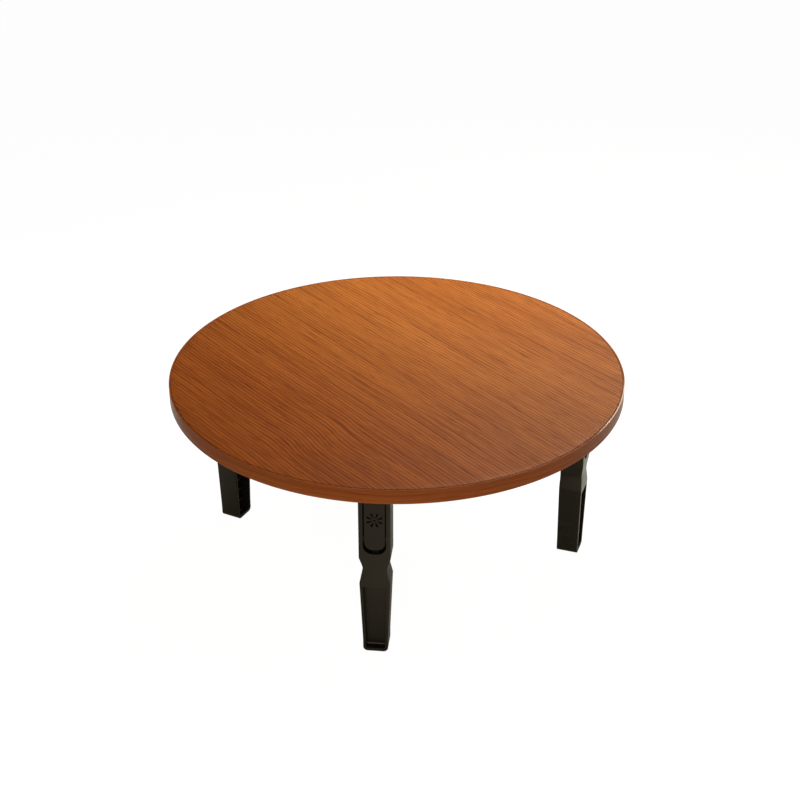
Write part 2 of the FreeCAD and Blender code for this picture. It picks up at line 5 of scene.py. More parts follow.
import bmesh
import bpy
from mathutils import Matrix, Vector


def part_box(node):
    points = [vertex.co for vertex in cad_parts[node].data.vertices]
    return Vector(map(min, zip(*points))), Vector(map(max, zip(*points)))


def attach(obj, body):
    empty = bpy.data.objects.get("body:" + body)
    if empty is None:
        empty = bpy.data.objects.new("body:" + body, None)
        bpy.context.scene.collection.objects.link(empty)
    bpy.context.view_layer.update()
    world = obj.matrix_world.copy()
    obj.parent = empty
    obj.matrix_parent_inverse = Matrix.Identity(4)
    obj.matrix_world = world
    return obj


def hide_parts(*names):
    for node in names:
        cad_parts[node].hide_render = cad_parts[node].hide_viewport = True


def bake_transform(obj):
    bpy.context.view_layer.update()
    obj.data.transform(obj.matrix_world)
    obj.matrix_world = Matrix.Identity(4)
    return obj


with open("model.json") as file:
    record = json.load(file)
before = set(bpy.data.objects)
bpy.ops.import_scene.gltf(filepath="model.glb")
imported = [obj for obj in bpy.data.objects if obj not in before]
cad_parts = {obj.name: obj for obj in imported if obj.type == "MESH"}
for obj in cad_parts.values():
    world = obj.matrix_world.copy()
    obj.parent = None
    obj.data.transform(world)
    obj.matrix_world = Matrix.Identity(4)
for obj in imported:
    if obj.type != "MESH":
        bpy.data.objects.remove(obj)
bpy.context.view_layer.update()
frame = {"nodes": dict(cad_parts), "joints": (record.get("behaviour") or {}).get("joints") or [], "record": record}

# A round low table: a veneered top in a bent wood band, on four moulded legs that fold in.
# Metres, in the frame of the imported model: the floor is z = 0 and the front leg faces -Y.

NODES = frame["nodes"]
LEGS = ("front", "right", "back", "left")

# The top, from the frame
BAND_LOW, BAND_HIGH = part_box("edge_band")
TOP_RADIUS = BAND_HIGH.x
VENEER_LOW, VENEER_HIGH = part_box("top_veneer")
VENEER_RADIUS = VENEER_HIGH.x
RIM_SEGMENTS = 384
RIM_SHARP_ANGLE = 40  # in degrees: edges that turn by more are shaded sharp
VENEER_EDGE_ROUND = 0.00025
VENEER_EDGE_STEPS = 3
VENEER_RINGS = (0.96, 0.75, 0.5, 0.25)  # where its face is cut into rings, as shares of its radius

# The band's section
BAND_THICK = 0.0032
BAND_TOP_ROUND = 0.0016
BAND_FOOT_ROUND = 0.0012
BAND_INNER_BEVEL = 0.0004
BAND_ROUND_STEPS = 8
HAIR = 0.00002  # keeps a round piece inside the box of the faceted CAD solid

# The grain of the veneer: its direction in degrees from +X, and the point its figure is laid out from
GRAIN_AZIMUTH = -46.5
FIGURE_CENTRE = (-0.06, -0.22, 0.0)
RING_SWAY = 0.0034  # the quick sway of the growth rings
ARCH_LIFT = 0.018  # how much the depth at which the rings are cut changes
BEND_ALONG = 0.07  # the reach of the one bend along the grain
BEND_ASIDE = 0.065  # its place beside the figure's centre
BEND_ACROSS = 0.09  # its reach across the grain

# Marks of making and wear, a painted shade and a painted highlight. Each pair says where a mark starts and where
# it is full
PAINTED_SHADE_WAY = (-0.6, -0.8, 0.0)  # the way in which the top's painted shade gets deeper and redder
PAINTED_SHADE_REACH = (-0.14, 0.30)  # how far that way
GLUE_LINE = (0.0011, 0.0004)  # in from the veneer's rim
BAND_SEAM = (0.0004, 0.0001)  # short of the band's butt joint
LIP_HIGHLIGHT_WAY = (0.970, -0.242, 0.0)  # the way to where the painted highlight on the band's lip is palest
LIP_HIGHLIGHT_REACH = (0.3835, 0.3955)  # how far that way
LIP_HIGHLIGHT_DOWN = (0.0010, 0.0003)  # down from the top of the band
LIP_HIGHLIGHT_IN = (0.0022, 0.0016)  # in from the rim

# Colours, in linear light. A tint multiplies the colour that it falls on
WHITE = (1.0, 1.0, 1.0, 1.0)
VENEER_WOOD = {"light": (0.41, 0.135, 0.024, 1.0), "deep": (0.350, 0.108, 0.018, 1.0),
               "late_tint": (0.34, 0.23, 0.17, 1.0), "pore_tint": (0.50, 0.38, 0.30, 1.0)}
BAND_WOOD = {"light": (0.330, 0.092, 0.019, 1.0), "deep": (0.265, 0.066, 0.014, 1.0),
             "late_tint": (0.78, 0.70, 0.64, 1.0), "pore_tint": (0.72, 0.64, 0.58, 1.0)}
PRINTED_WOOD = {"light": (0.150, 0.066, 0.030, 1.0), "deep": (0.110, 0.046, 0.021, 1.0),
                "late_tint": (0.85, 0.80, 0.76, 1.0), "pore_tint": (0.80, 0.75, 0.72, 1.0)}
EARLY_TINT = (1.24, 1.24, 1.20, 1.0)
FIBRE_TINT = (1.35, 1.32, 1.28, 1.0)
# the tint of the painted shade on the top
PAINTED_SHADE_TINT = (0.90, 0.72, 0.60, 1.0)
GLUE_BROWN = (0.100, 0.022, 0.006, 1.0)
SEAM_BROWN = (0.030, 0.009, 0.004, 1.0)
# the band's worn edges, made lighter than wear alone as a painted highlight
WORN_AND_HIGHLIT_WOOD = (0.52, 0.22, 0.095, 1.0)
# the colour of the painted highlight on the band's lip
PAINTED_HIGHLIGHT_WOOD = (0.95, 0.76, 0.60, 1.0)
BOARD_DARK, BOARD_LIGHT = (0.30, 0.19, 0.10, 1.0), (0.52, 0.38, 0.24, 1.0)
LEG_BLACK, LEG_WORN = (0.0068, 0.0052, 0.0034, 1.0), (0.036, 0.031, 0.024, 1.0)
TONGUE_BLACK, TONGUE_WORN = (0.0125, 0.0098, 0.0074, 1.0), (0.048, 0.042, 0.035, 1.0)
PLASTIC_SHEEN = (1.0, 0.86, 0.66, 1.0)
PAINT_BLACK, CHIPPED_STEEL = (0.016, 0.016, 0.017, 1.0), (0.22, 0.21, 0.20, 1.0)
ZINC, ZINC_BLOOM = (0.58, 0.58, 0.57, 1.0), (0.50, 0.47, 0.40, 1.0)
OXIDE, OXIDE_BLOOM = (0.050, 0.052, 0.058, 1.0), (0.032, 0.030, 0.031, 1.0)
RUBBER_BLACK, RUBBER_DUST = (0.010, 0.0095, 0.009, 1.0), (0.040, 0.038, 0.034, 1.0)

# How sharp edges are softened
MERGE_DISTANCE = 2e-6
FLAT_ANGLE = 0.4  # in degrees: faces that turn by less count as one
BEVEL_ANGLE = 32
BEVEL_SEGMENTS = 2
EDGE_ROUNDS = {"leg_plastic": 0.0005, "tongue_plastic": 0.0003, "bracket_paint": 0.0004,
               "pad_rubber": 0.0005}
SMALL_SHARP_ANGLE = 30  # for the screws and the springs

# The screws, as the CAD model sizes them
PLATE_THICK = 0.003
SCREW_ACROSS = 0.018
SCREW_ALONG = 0.034125
SCREW_SEED = 7
WOOD_SCREW = {"Head radius": 0.004, "Head height": 0.0024, "Shank radius": 0.002, "Length": 0.018,
              "Point": 0.003, "Recess width": 0.0009, "Recess depth": 0.0013, "Random turn": 2 * math.pi}
LATCH_SCREW_SEAT = 0.0096  # from the hinge pin out to the back of the spring
LATCH_SCREW = {"Head radius": 0.0029, "Head height": 0.0018, "Shank radius": 0.0015, "Length": 0.006,
               "Point": 0.0005, "Recess width": 0.0007, "Recess depth": 0.0010, "Random turn": 0.0}
HEAD_SEGMENTS, HEAD_RINGS = 40, 28
HEAD_FULLNESS = 0.62  # the power that makes a round head a little fuller than a half ball
RECESS_REACH = 1.15  # the length of a recess's bars, in head radii
SHANK_SIDES = 24

# The latch springs
SPRING_CUTS = 24
HOOK_DRAW = 0.0003  # how far the hook is drawn in, so that it stays clear when the tongue turns
HOOK_REACH = 0.020  # from the hook's top down to where the drawing in starts
HOOK_HEIGHT = 0.006  # from the hook's top down to where it is drawn in fully

# The viewpoint of the photograph
CAMERA_PLACE = (0.2552, -2.3796, 1.6189)
CAMERA_TILT = 61.077
CAMERA_TURN = 5.988
FOCAL_LENGTH_PIXELS = 1529.4
IMAGE_PIXELS = 800
SENSOR_WIDTH = 36.0  # in millimetres, as the camera's own values are

# The studio
FLOOR_RADIUS = 14.0
FLOOR_SIDES = 96
FLOOR_GREY = (0.80, 0.80, 0.79, 1.0)
FLOOR_GLOW = 1.18
FLOOR_SEEN = 0.82  # how much of the glow the camera sees; the rest is lit and shows the shadow
FLOOR_MIRRORED = (1.0, 0.96, 0.80, 1.0)  # the floor's colour in reflections
FLOOR_BRIGHTENS = (1.0, 0.6, 0.0)  # the way in which the floor's reflection gets brighter
LAMP_COLOUR = (1.0, 0.94, 0.86)

# Changes of brightness: from one place to another, and from one level to another.
# All but the last show in reflections only
FLOOR_UNDER = (0.28, 0.70, 0.08, 1.0)  # outward from under the table
FLOOR_LIT = (-0.9, 0.1, 0.15, 1.6)  # in the way in which the floor brightens
ROOM_UPWARD = (0.10, 0.42, 1.0, 0.08)
ROOM_RIGHTWARD = (0.15, 0.85, 0.22, 1.0)
ROOM_AMBIENT = (-0.05, 0.05, 0.60, 0.10)  # the room's light on matt surfaces, from below to above


def give(tree, sockets, values):
    """Gives sockets their values, by name or place. A value that is a socket is linked."""
    for key, value in dict(values).items():
        if isinstance(value, bpy.types.NodeSocket):
            tree.links.new(value, sockets[key])
        else:
            sockets[key].default_value = value


def add(tree, kind, inputs=(), **settings):
    """A new node. Its inputs are given by name or place, as values or as other sockets."""
    made = tree.nodes.new(kind)
    for name, value in settings.items():
        setattr(made, name, value)
    give(tree, made.inputs, inputs)
    return made


def calc(tree, operation, *values):
    """The result of a Math node."""
    return add(tree, "ShaderNodeMath", enumerate(values), operation=operation).outputs[0]


def ramped(tree, value, low, high, to_low=0.0, to_high=1.0):
    """A value taken smoothly from to_low to to_high as it goes from low to high."""
    inputs = {0: value, 1: low, 2: high, 3: to_low, 4: to_high}
    return add(tree, "ShaderNodeMapRange", inputs, interpolation_type="SMOOTHSTEP").outputs[0]


def near(tree, value, edge, starts, full):
    """A mask that starts at a distance short of an edge, and is full at a smaller one."""
    return ramped(tree, value, edge - starts, edge - full)


def parts_of(tree, vector):
    """A vector's X, Y and Z."""
    return add(tree, "ShaderNodeSeparateXYZ", {0: vector}).outputs


def vector_of(tree, x=0.0, y=0.0, z=0.0):
    """A vector from its parts."""
    return add(tree, "ShaderNodeCombineXYZ", {0: x, 1: y, 2: z}).outputs[0]


def dot(tree, first, second):
    """How far one vector reaches along another."""
    node = add(tree, "ShaderNodeVectorMath", {0: first, 1: second}, operation="DOT_PRODUCT")
    return node.outputs["Value"]


def stretched(tree, vector, scales):
    """A vector with its own scale along each axis."""
    return add(tree, "ShaderNodeVectorMath", {0: vector, 1: scales}, operation="MULTIPLY").outputs[0]


def distance_from_axis(tree, place):
    """How far a place is from the table's upright axis."""
    flat = stretched(tree, place, (1.0, 1.0, 0.0))
    return add(tree, "ShaderNodeVectorMath", {0: flat}, operation="LENGTH").outputs["Value"]


def even_noise(tree, vector, scale, detail):
    """Noise with one scale, which may be a socket."""
    inputs = {"Vector": vector, "Scale": scale, "Detail": detail}
    return add(tree, "ShaderNodeTexNoise", inputs).outputs[0]


def noise(tree, vector, scales, detail=2.0, roughness=0.5):
    """Noise with one scale or its own scale along each axis, in cells a metre."""
    if isinstance(scales, float):
        scales = (scales,) * 3
    inputs = {"Vector": stretched(tree, vector, scales), "Scale": 1.0, "Detail": detail,
              "Roughness": roughness}
    return add(tree, "ShaderNodeTexNoise", inputs).outputs[0]


def swing(tree, *noise_values):
    """Noise that goes as far below zero as above it."""
    return calc(tree, "SUBTRACT", noise(tree, *noise_values), 0.5)


def mixed(tree, factor, first, second, blend_type="MIX"):
    """Two colours mixed by a factor."""
    inputs = {0: factor, 6: first, 7: second}
    return add(tree, "ShaderNodeMix", inputs, data_type="RGBA", blend_type=blend_type).outputs[2]


def tinted(tree, factor, colour, tint):
    """A colour multiplied by a tint, as far as a factor says."""
    return mixed(tree, factor, colour, mixed(tree, 1.0, colour, tint, "MULTIPLY"))


def place_on_object(tree):
    """The place in the object's own coordinates."""
    return add(tree, "ShaderNodeTexCoord").outputs["Object"]


def shader_group(name, inputs, outputs):
    """A shader node group with the sockets named, as (tree, its inputs, its outputs)."""
    tree = bpy.data.node_groups.new(name, "ShaderNodeTree")
    for socket_name, value in inputs.items():
        kind = "NodeSocketVector" if value is None else "NodeSocketFloat"
        socket = tree.interface.new_socket(socket_name, in_out="INPUT", socket_type=kind)
        if value is not None:
            socket.default_value = value
    for socket_name in outputs:
        tree.interface.new_socket(socket_name, in_out="OUTPUT", socket_type="NodeSocketFloat")
    given = tree.nodes.new("NodeGroupInput").outputs
    result = tree.nodes.new("NodeGroupOutput").inputs
    return tree, given, result


def ring_bend(tree, along, across, amount):
    """How far the one bend pushes the rings aside, fading all round from its middle."""
    over = calc(tree, "DIVIDE", along, BEND_ALONG)
    beside = calc(tree, "DIVIDE", calc(tree, "ADD", across, BEND_ASIDE), BEND_ACROSS)
    spread = calc(tree, "ADD", calc(tree, "MULTIPLY", over, over), calc(tree, "MULTIPLY", beside, beside))
    fade = calc(tree, "EXPONENT", calc(tree, "MULTIPLY", spread, -1.0))
    return calc(tree, "MULTIPLY", calc(tree, "MULTIPLY", over, fade), amount)


def wood_figure_group():
    """Growth rings cut slightly askew, with pores and one bend. Grain runs along the vector's X."""
    tree, given, result = shader_group(
        "wood_figure",
        {"Vector": None, "Ring spacing": 0.0052, "Arch depth": 0.020, "Arch slope": 0.05,
         "Wander": 0.011, "Bend": 0.0},
        ["Tone", "Latewood", "Earlywood", "Pores", "Fibre"])
    vector = given["Vector"]
    parts = parts_of(tree, vector)
    along, across = parts["X"], parts["Y"]

    # Where a place lies in the tree's rings
    wander = calc(tree, "MULTIPLY", given["Wander"], 2.0)
    slow = calc(tree, "MULTIPLY", swing(tree, vector, (2.0, 5.0, 5.0)), wander)
    quick = calc(tree, "MULTIPLY", swing(tree, vector, (11.0, 34.0, 34.0)), RING_SWAY)
    sway = calc(tree, "ADD", slow, quick)
    side = calc(tree, "ADD", across, calc(tree, "ADD", sway, ring_bend(tree, along, across, given["Bend"])))
    lift = calc(tree, "MULTIPLY", swing(tree, vector, (3.0, 0.5, 0.5)), ARCH_LIFT)
    depth = calc(tree, "ADD", calc(tree, "MULTIPLY", along, given["Arch slope"]), given["Arch depth"])
    depth = calc(tree, "ADD", depth, lift)
    radius = calc(tree, "SQRT", calc(tree, "ADD", calc(tree, "POWER", calc(tree, "ABSOLUTE", side), 2.0),
                                     calc(tree, "POWER", calc(tree, "ABSOLUTE", depth), 2.0)))
    rings = calc(tree, "DIVIDE", radius, given["Ring spacing"])
    year = calc(tree, "FLOOR", rings)
    season = calc(tree, "FRACT", rings)

    # Dark latewood of its own strength each year, pale earlywood, and short streaks
    strength = add(tree, "ShaderNodeTexWhiteNoise", {"W": year}, noise_dimensions="1D").outputs[0]
    swelling = ramped(tree, season, 0.42, 0.80)
    ending = ramped(tree, season, 0.91, 1.0, to_low=1.0, to_high=0.0)
    late = calc(tree, "MULTIPLY", swelling, ending)
    late = calc(tree, "MULTIPLY", late, calc(tree, "MULTIPLY_ADD", strength, 0.45, 0.50))
    broken = ramped(tree, noise(tree, vector, (5.0, 190.0, 190.0)), 0.30, 0.58, to_low=0.45)
    late = calc(tree, "MULTIPLY", late, broken)
    starting = ramped(tree, season, 0.04, 0.34, to_low=1.0, to_high=0.0)
    pale = calc(tree, "MULTIPLY", starting, broken)
    streaks = ramped(tree, noise(tree, vector, (5.0, 260.0, 260.0), 2.0, 0.55), 0.50, 0.66)
    late = calc(tree, "MAXIMUM", late, calc(tree, "MULTIPLY", streaks, 0.62))

    # Fine pores, mostly in the earlywood, and coarse ones all over
    fine = ramped(tree, noise(tree, vector, (26.0, 1150.0, 1150.0), 1.0), 0.56, 0.66)
    early = ramped(tree, season, 0.0, 0.55, to_low=1.0, to_high=0.15)
    coarse = ramped(tree, noise(tree, vector, (20.0, 520.0, 520.0), 2.0), 0.56, 0.68)
    pores = calc(tree, "MAXIMUM", calc(tree, "MULTIPLY", fine, early), calc(tree, "MULTIPLY", coarse, 0.8))

    tone = ramped(tree, noise(tree, vector, (1.1, 19.0, 19.0), 3.0), 0.30, 0.70)
    fibre = noise(tree, vector, (40.0, 700.0, 700.0), 3.0, 0.6)
    give(tree, result, {"Tone": tone, "Latewood": late, "Earlywood": pale, "Pores": pores, "Fibre": fibre})
    return tree


def drifting_roughness(tree, given, scale, noise_roughness):
    """A group's given roughness, varied by its given spread from place to place."""
    drift = swing(tree, given["Vector"], scale, 4.0, noise_roughness)
    return calc(tree, "MULTIPLY_ADD", drift, calc(tree, "MULTIPLY", given["Spread"], 2.0),
                given["Roughness"])


def lacquer_film_group():
    """A satin lacquer: faint ripples in its surface, and smudges that dull it a little."""
    tree, given, result = shader_group(
        "lacquer_film", {"Vector": None, "Roughness": 0.4, "Spread": 0.08}, ["Roughness", "Height"])
    give(tree, result, {"Roughness": drifting_roughness(tree, given, 9.0, 0.6),
                        "Height": noise(tree, given["Vector"], 160.0, 1.0)})
    return tree


def moulded_grain_group():
    """The fine leathery grain of a moulded or powder coated surface, and its scuffs."""
    tree, given, result = shader_group(
        "moulded_grain", {"Vector": None, "Grain": 1400.0, "Roughness": 0.45, "Spread": 0.06},
        ["Roughness", "Height", "Scuff"])
    vector = given["Vector"]
    cells = add(tree, "ShaderNodeTexVoronoi", {"Vector": vector, "Scale": given["Grain"]},
                feature="SMOOTH_F1").outputs["Distance"]
    sand = even_noise(tree, vector, given["Grain"], 2.0)
    height = calc(tree, "MULTIPLY_ADD", cells, 0.6, calc(tree, "MULTIPLY", sand, 0.4))
    scuff = ramped(tree, noise(tree, vector, (18.0, 18.0, 90.0), 5.0, 0.7), 0.60, 0.74)
    give(tree, result, {"Roughness": drifting_roughness(tree, given, 24.0, 0.62), "Height": height,
                        "Scuff": scuff})
    return tree


def edge_wear_group():
    """A mask of the edges, broken up where a hand or a shoe has polished them."""
    tree, given, result = shader_group(
        "edge_wear", {"Vector": None, "Width": 0.0008, "Breaks": 70.0}, ["Edge"])
    soft = add(tree, "ShaderNodeBevel", {"Radius": given["Width"]}, samples=6).outputs["Normal"]
    hard = add(tree, "ShaderNodeNewGeometry").outputs["Normal"]
    edge = ramped(tree, dot(tree, soft, hard), 0.985, 0.88)
    breaks = ramped(tree, even_noise(tree, given["Vector"], given["Breaks"], 3.0), 0.35, 0.65, to_low=0.25)
    give(tree, result, {"Edge": calc(tree, "MULTIPLY", edge, breaks)})
    return tree


WOOD_FIGURE = wood_figure_group()
LACQUER_FILM = lacquer_film_group()
MOULDED_GRAIN = moulded_grain_group()
EDGE_WEAR = edge_wear_group()


def use_group(tree, group, inputs):
    """A group placed in a material with its own values, as the group's outputs."""
    made = tree.nodes.new("ShaderNodeGroup")
    made.node_tree = group
    give(tree, made.inputs, inputs)
    return made.outputs


def new_material(name):
    """A material with a Principled shader, as (material, tree, the shader's inputs)."""
    material = bpy.data.materials.new(name)
    material.use_nodes = True
    tree = material.node_tree
    return material, tree, tree.nodes["Principled BSDF"].inputs


def bump(tree, shader, height, distance, strength, under=None):
    """Gives the shader a bumped normal, over another one where that is named."""
    inputs = {"Height": height, "Distance": distance, "Strength": strength}
    if under is not None:
        inputs["Normal"] = under
    normal = add(tree, "ShaderNodeBump", inputs).outputs["Normal"]
    give(tree, shader, {"Normal": normal})
    return normal


def turned_to_grain(tree, vector):
    """A vector with its X along the grain of the top."""
    turn = {"Vector": vector, "Rotation": (0.0, 0.0, math.radians(-GRAIN_AZIMUTH))}
    return add(tree, "ShaderNodeMapping", turn).outputs[0]


def wood_colours(tree, figure, light, deep, late_tint, pore_tint):
    """The figure's masks turned into a wood colour."""
    colour = mixed(tree, figure["Tone"], light, deep)
    colour = tinted(tree, calc(tree, "MULTIPLY", figure["Earlywood"], 0.6), colour, EARLY_TINT)
    colour = tinted(tree, calc(tree, "MULTIPLY", figure["Latewood"], 0.85), colour, late_tint)
    colour = tinted(tree, calc(tree, "MULTIPLY", figure["Pores"], 0.8), colour, pore_tint)
    fibre = ramped(tree, figure["Fibre"], 0.25, 0.75)
    return tinted(tree, calc(tree, "MULTIPLY", fibre, 0.22), colour, FIBRE_TINT)


def veneer_material():
    """Straight grained veneer under satin lacquer, with a painted shade that makes it deeper and redder towards
    the front and left legs.
    """
    material, tree, shader = new_material("veneer_lacquered")
    place = place_on_object(tree)
    offset = add(tree, "ShaderNodeVectorMath", {0: place, 1: FIGURE_CENTRE}, operation="SUBTRACT")
    figure = use_group(tree, WOOD_FIGURE, {
        "Vector": turned_to_grain(tree, offset.outputs[0]), "Ring spacing": 0.0067,
        "Arch depth": 0.006, "Arch slope": 0.012, "Bend": 0.014})
    colour = wood_colours(tree, figure, **VENEER_WOOD)
    # Painted shade: the top's colour made deeper and redder towards the front and left
    painted_shade = ramped(tree, dot(tree, place, PAINTED_SHADE_WAY), *PAINTED_SHADE_REACH)
    colour = tinted(tree, painted_shade, colour, PAINTED_SHADE_TINT)
    glue = near(tree, distance_from_axis(tree, place), VENEER_RADIUS, *GLUE_LINE)
    colour = mixed(tree, calc(tree, "MULTIPLY", glue, 0.50), colour, GLUE_BROWN)
    film = use_group(tree, LACQUER_FILM, {"Vector": place, "Roughness": 0.44, "Spread": 0.08})
    rough = calc(tree, "MULTIPLY_ADD", figure["Pores"], 0.10, film["Roughness"])
    give(tree, shader, {"Base Color": colour, "Roughness": rough, "Specular IOR Level": 0.06})
    ripples = bump(tree, shader, film["Height"], 0.00002, 0.5)
    sunk = calc(tree, "SUBTRACT", calc(tree, "MULTIPLY", figure["Latewood"], 0.3), figure["Pores"])
    bump(tree, shader, sunk, 0.00006, 0.7, ripples)
    return material


def rim_parts(tree, place):
    """A place's way along the rim, its height and its distance from the axis, in metres.
    The way counts from the front, so the band's two ends meet behind the back leg."""
    parts = parts_of(tree, place)
    angle = calc(tree, "ARCTAN2", parts["X"], calc(tree, "MULTIPLY", parts["Y"], -1.0))
    return calc(tree, "MULTIPLY", angle, TOP_RADIUS), parts["Z"], distance_from_axis(tree, place)


def band_material():
    """The bent band: grain along the rim to a butt joint, with a worn lip lightened partly as a painted highlight,
    and a pale painted highlight along the lip towards the right.
    """
    material, tree, shader = new_material("band_lacquered")
    place = place_on_object(tree)
    along, height, radius = rim_parts(tree, place)
    figure = use_group(tree, WOOD_FIGURE, {
        "Vector": vector_of(tree, along, height, radius), "Ring spacing": 0.0040, "Arch depth": 0.8,
        "Arch slope": 0.004, "Wander": 0.004})
    colour = wood_colours(tree, figure, **BAND_WOOD)
    seam = near(tree, calc(tree, "ABSOLUTE", along), math.pi * TOP_RADIUS, *BAND_SEAM)
    colour = mixed(tree, calc(tree, "MULTIPLY", seam, 0.8), colour, SEAM_BROWN)
    wear = use_group(tree, EDGE_WEAR, {"Vector": place, "Width": 0.0012, "Breaks": 30.0})
    # The band's edges, lighter where worn and, as a painted highlight, where they round over
    colour = mixed(tree, calc(tree, "MULTIPLY", wear["Edge"], 0.60), colour, WORN_AND_HIGHLIT_WOOD)
    # A painted highlight: a pale line along the top of the lip, palest towards the right
    upper = near(tree, height, BAND_HIGH.z, *LIP_HIGHLIGHT_DOWN)
    outer = near(tree, radius, TOP_RADIUS, *LIP_HIGHLIGHT_IN)
    lip_highlight = calc(tree, "MULTIPLY", upper, calc(tree, "MULTIPLY", outer, 0.78))
    facing = ramped(tree, dot(tree, place, LIP_HIGHLIGHT_WAY), *LIP_HIGHLIGHT_REACH)
    colour = mixed(tree, calc(tree, "MULTIPLY", lip_highlight, facing), colour, PAINTED_HIGHLIGHT_WOOD)
    film = use_group(tree, LACQUER_FILM, {"Vector": place, "Roughness": 0.36, "Spread": 0.07})
    give(tree, shader, {"Base Color": colour, "Roughness": film["Roughness"],
                        "Specular IOR Level": 0.06})
    ripples = bump(tree, shader, film["Height"], 0.00002, 0.5)
    bump(tree, shader, calc(tree, "MULTIPLY", figure["Pores"], -1.0), 0.00004, 0.6, ripples)
    return material


def board_material():
    """Raw fibreboard, seen only in the joints."""
    material, tree, shader = new_material("fibreboard_raw")
    place = place_on_object(tree)
    chips = add(tree, "ShaderNodeTexVoronoi", {"Vector": stretched(tree, place, (1.0, 1.0, 4.0)),
                                               "Scale": 420.0}).outputs["Distance"]
    felt = noise(tree, place, (900.0, 900.0, 2600.0), 4.0)
    shade = calc(tree, "MULTIPLY_ADD", chips, 0.5, calc(tree, "MULTIPLY", felt, 0.5))
    give(tree, shader, {"Base Color": mixed(tree, shade, BOARD_DARK, BOARD_LIGHT),
                        "Roughness": ramped(tree, felt, 0.2, 0.8, to_low=0.78, to_high=0.92)})
    bump(tree, shader, shade, 0.0001, 0.6)
    return material


def backing_material():
    """The matt brown balancing sheet under the top, with a printed straight grain."""
    material, tree, shader = new_material("backing_sheet")
    place = place_on_object(tree)
    figure = use_group(tree, WOOD_FIGURE, {
        "Vector": turned_to_grain(tree, place), "Ring spacing": 0.007, "Arch depth": 0.3,
        "Arch slope": 0.02, "Wander": 0.006})
    grit = use_group(tree, MOULDED_GRAIN, {"Vector": place, "Grain": 900.0, "Roughness": 0.56,
                                           "Spread": 0.05})
    give(tree, shader, {"Base Color": wood_colours(tree, figure, **PRINTED_WOOD),
                        "Roughness": grit["Roughness"], "Specular IOR Level": 0.3})
    bump(tree, shader, grit["Height"], 0.00003, 0.5)
    return material


def plastic_material(name, colour, worn, roughness, specular, grain):
    """Moulded black plastic with a fine grain, scuffs and slightly polished edges."""
    material, tree, shader = new_material(name)
    place = place_on_object(tree)
    skin = use_group(tree, MOULDED_GRAIN, {"Vector": place, "Grain": grain, "Roughness": roughness,
                                           "Spread": 0.05})
    wear = use_group(tree, EDGE_WEAR, {"Vector": place, "Width": 0.0009, "Breaks": 60.0})
    cloud = ramped(tree, noise(tree, place, 14.0, 3.0), 0.3, 0.7)
    shade = mixed(tree, cloud, colour, tuple(c * 1.25 for c in colour[:3]) + (1.0,))
    shade = mixed(tree, calc(tree, "MULTIPLY", skin["Scuff"], 0.30), shade, worn)
    shade = mixed(tree, calc(tree, "MULTIPLY", wear["Edge"], 0.45), shade, worn)
    rough = calc(tree, "MULTIPLY_ADD", skin["Scuff"], 0.10, skin["Roughness"])
    give(tree, shader, {"Base Color": shade, "Roughness": rough, "Specular IOR Level": specular,
                        "Specular Tint": PLASTIC_SHEEN})
    bump(tree, shader, skin["Height"], 0.00003, 0.35)
    return material


def powder_coat_material():
    """The bracket's black powder coat, a little pebbled and chipped along its edges."""
    material, tree, shader = new_material("powder_coat")
    place = place_on_object(tree)
    skin = use_group(tree, MOULDED_GRAIN, {"Vector": place, "Grain": 700.0, "Roughness": 0.42,
                                           "Spread": 0.06})
    wear = use_group(tree, EDGE_WEAR, {"Vector": place, "Width": 0.0006, "Breaks": 160.0})
    chip = ramped(tree, wear["Edge"], 0.55, 0.85)
    give(tree, shader, {"Base Color": mixed(tree, chip, PAINT_BLACK, CHIPPED_STEEL),
                        "Metallic": chip, "Roughness": skin["Roughness"]})
    bump(tree, shader, skin["Height"], 0.00006, 0.5)
    return material


def steel_material(name, colour, bloom_colour, roughness):
    """Bare or plated steel: fine brushing, a slow change of tint and greasy smudges."""
    material, tree, shader = new_material(name)
    place = place_on_object(tree)
    brush = noise(tree, place, (1800.0, 1800.0, 120.0), 2.0)
    bloom = ramped(tree, noise(tree, place, 90.0, 4.0, 0.6), 0.35, 0.70)
    shade = mixed(tree, calc(tree, "MULTIPLY", bloom, 0.6), colour, bloom_colour)
    dulled = calc(tree, "MULTIPLY_ADD", bloom, 0.08, roughness - 0.07)
    give(tree, shader, {"Base Color": shade, "Metallic": 1.0,
                        "Roughness": calc(tree, "MULTIPLY_ADD", brush, 0.14, dulled)})
    bump(tree, shader, brush, 0.00001, 0.6)
    return material


def rubber_material():
    """Matt black rubber with a dusty bloom."""
    material, tree, shader = new_material("pad_rubber_matt")
    place = place_on_object(tree)
    skin = use_group(tree, MOULDED_GRAIN, {"Vector": place, "Grain": 1100.0, "Roughness": 0.72,
                                           "Spread": 0.05})
    dust = ramped(tree, noise(tree, place, 60.0, 5.0, 0.65), 0.45, 0.75)
    shade = mixed(tree, calc(tree, "MULTIPLY", dust, 0.5), RUBBER_BLACK, RUBBER_DUST)
    give(tree, shader, {"Base Color": shade, "Roughness": skin["Roughness"],
                        "Specular IOR Level": 0.3})
    bump(tree, shader, skin["Height"], 0.00005, 0.6)
    return material


MATERIALS = {
    "top_wood": veneer_material(),
    "edge_wood": band_material(),
    "core": board_material(),
    "backing": backing_material(),
    "leg_plastic": plastic_material("leg_plastic_moulded", LEG_BLACK, LEG_WORN,
                                    roughness=0.34, specular=0.28, grain=1500.0),
    "tongue_plastic": plastic_material("tongue_plastic_moulded", TONGUE_BLACK, TONGUE_WORN,
                                       roughness=0.40, specular=0.20, grain=1900.0),
    "bracket_paint": powder_coat_material(),
    "zinc_steel": steel_material("zinc_plated", ZINC, ZINC_BLOOM, roughness=0.34),
    "spring_steel": steel_material("spring_oxide", OXIDE, OXIDE_BLOOM, roughness=0.34),
    "pad_rubber": rubber_material(),
}


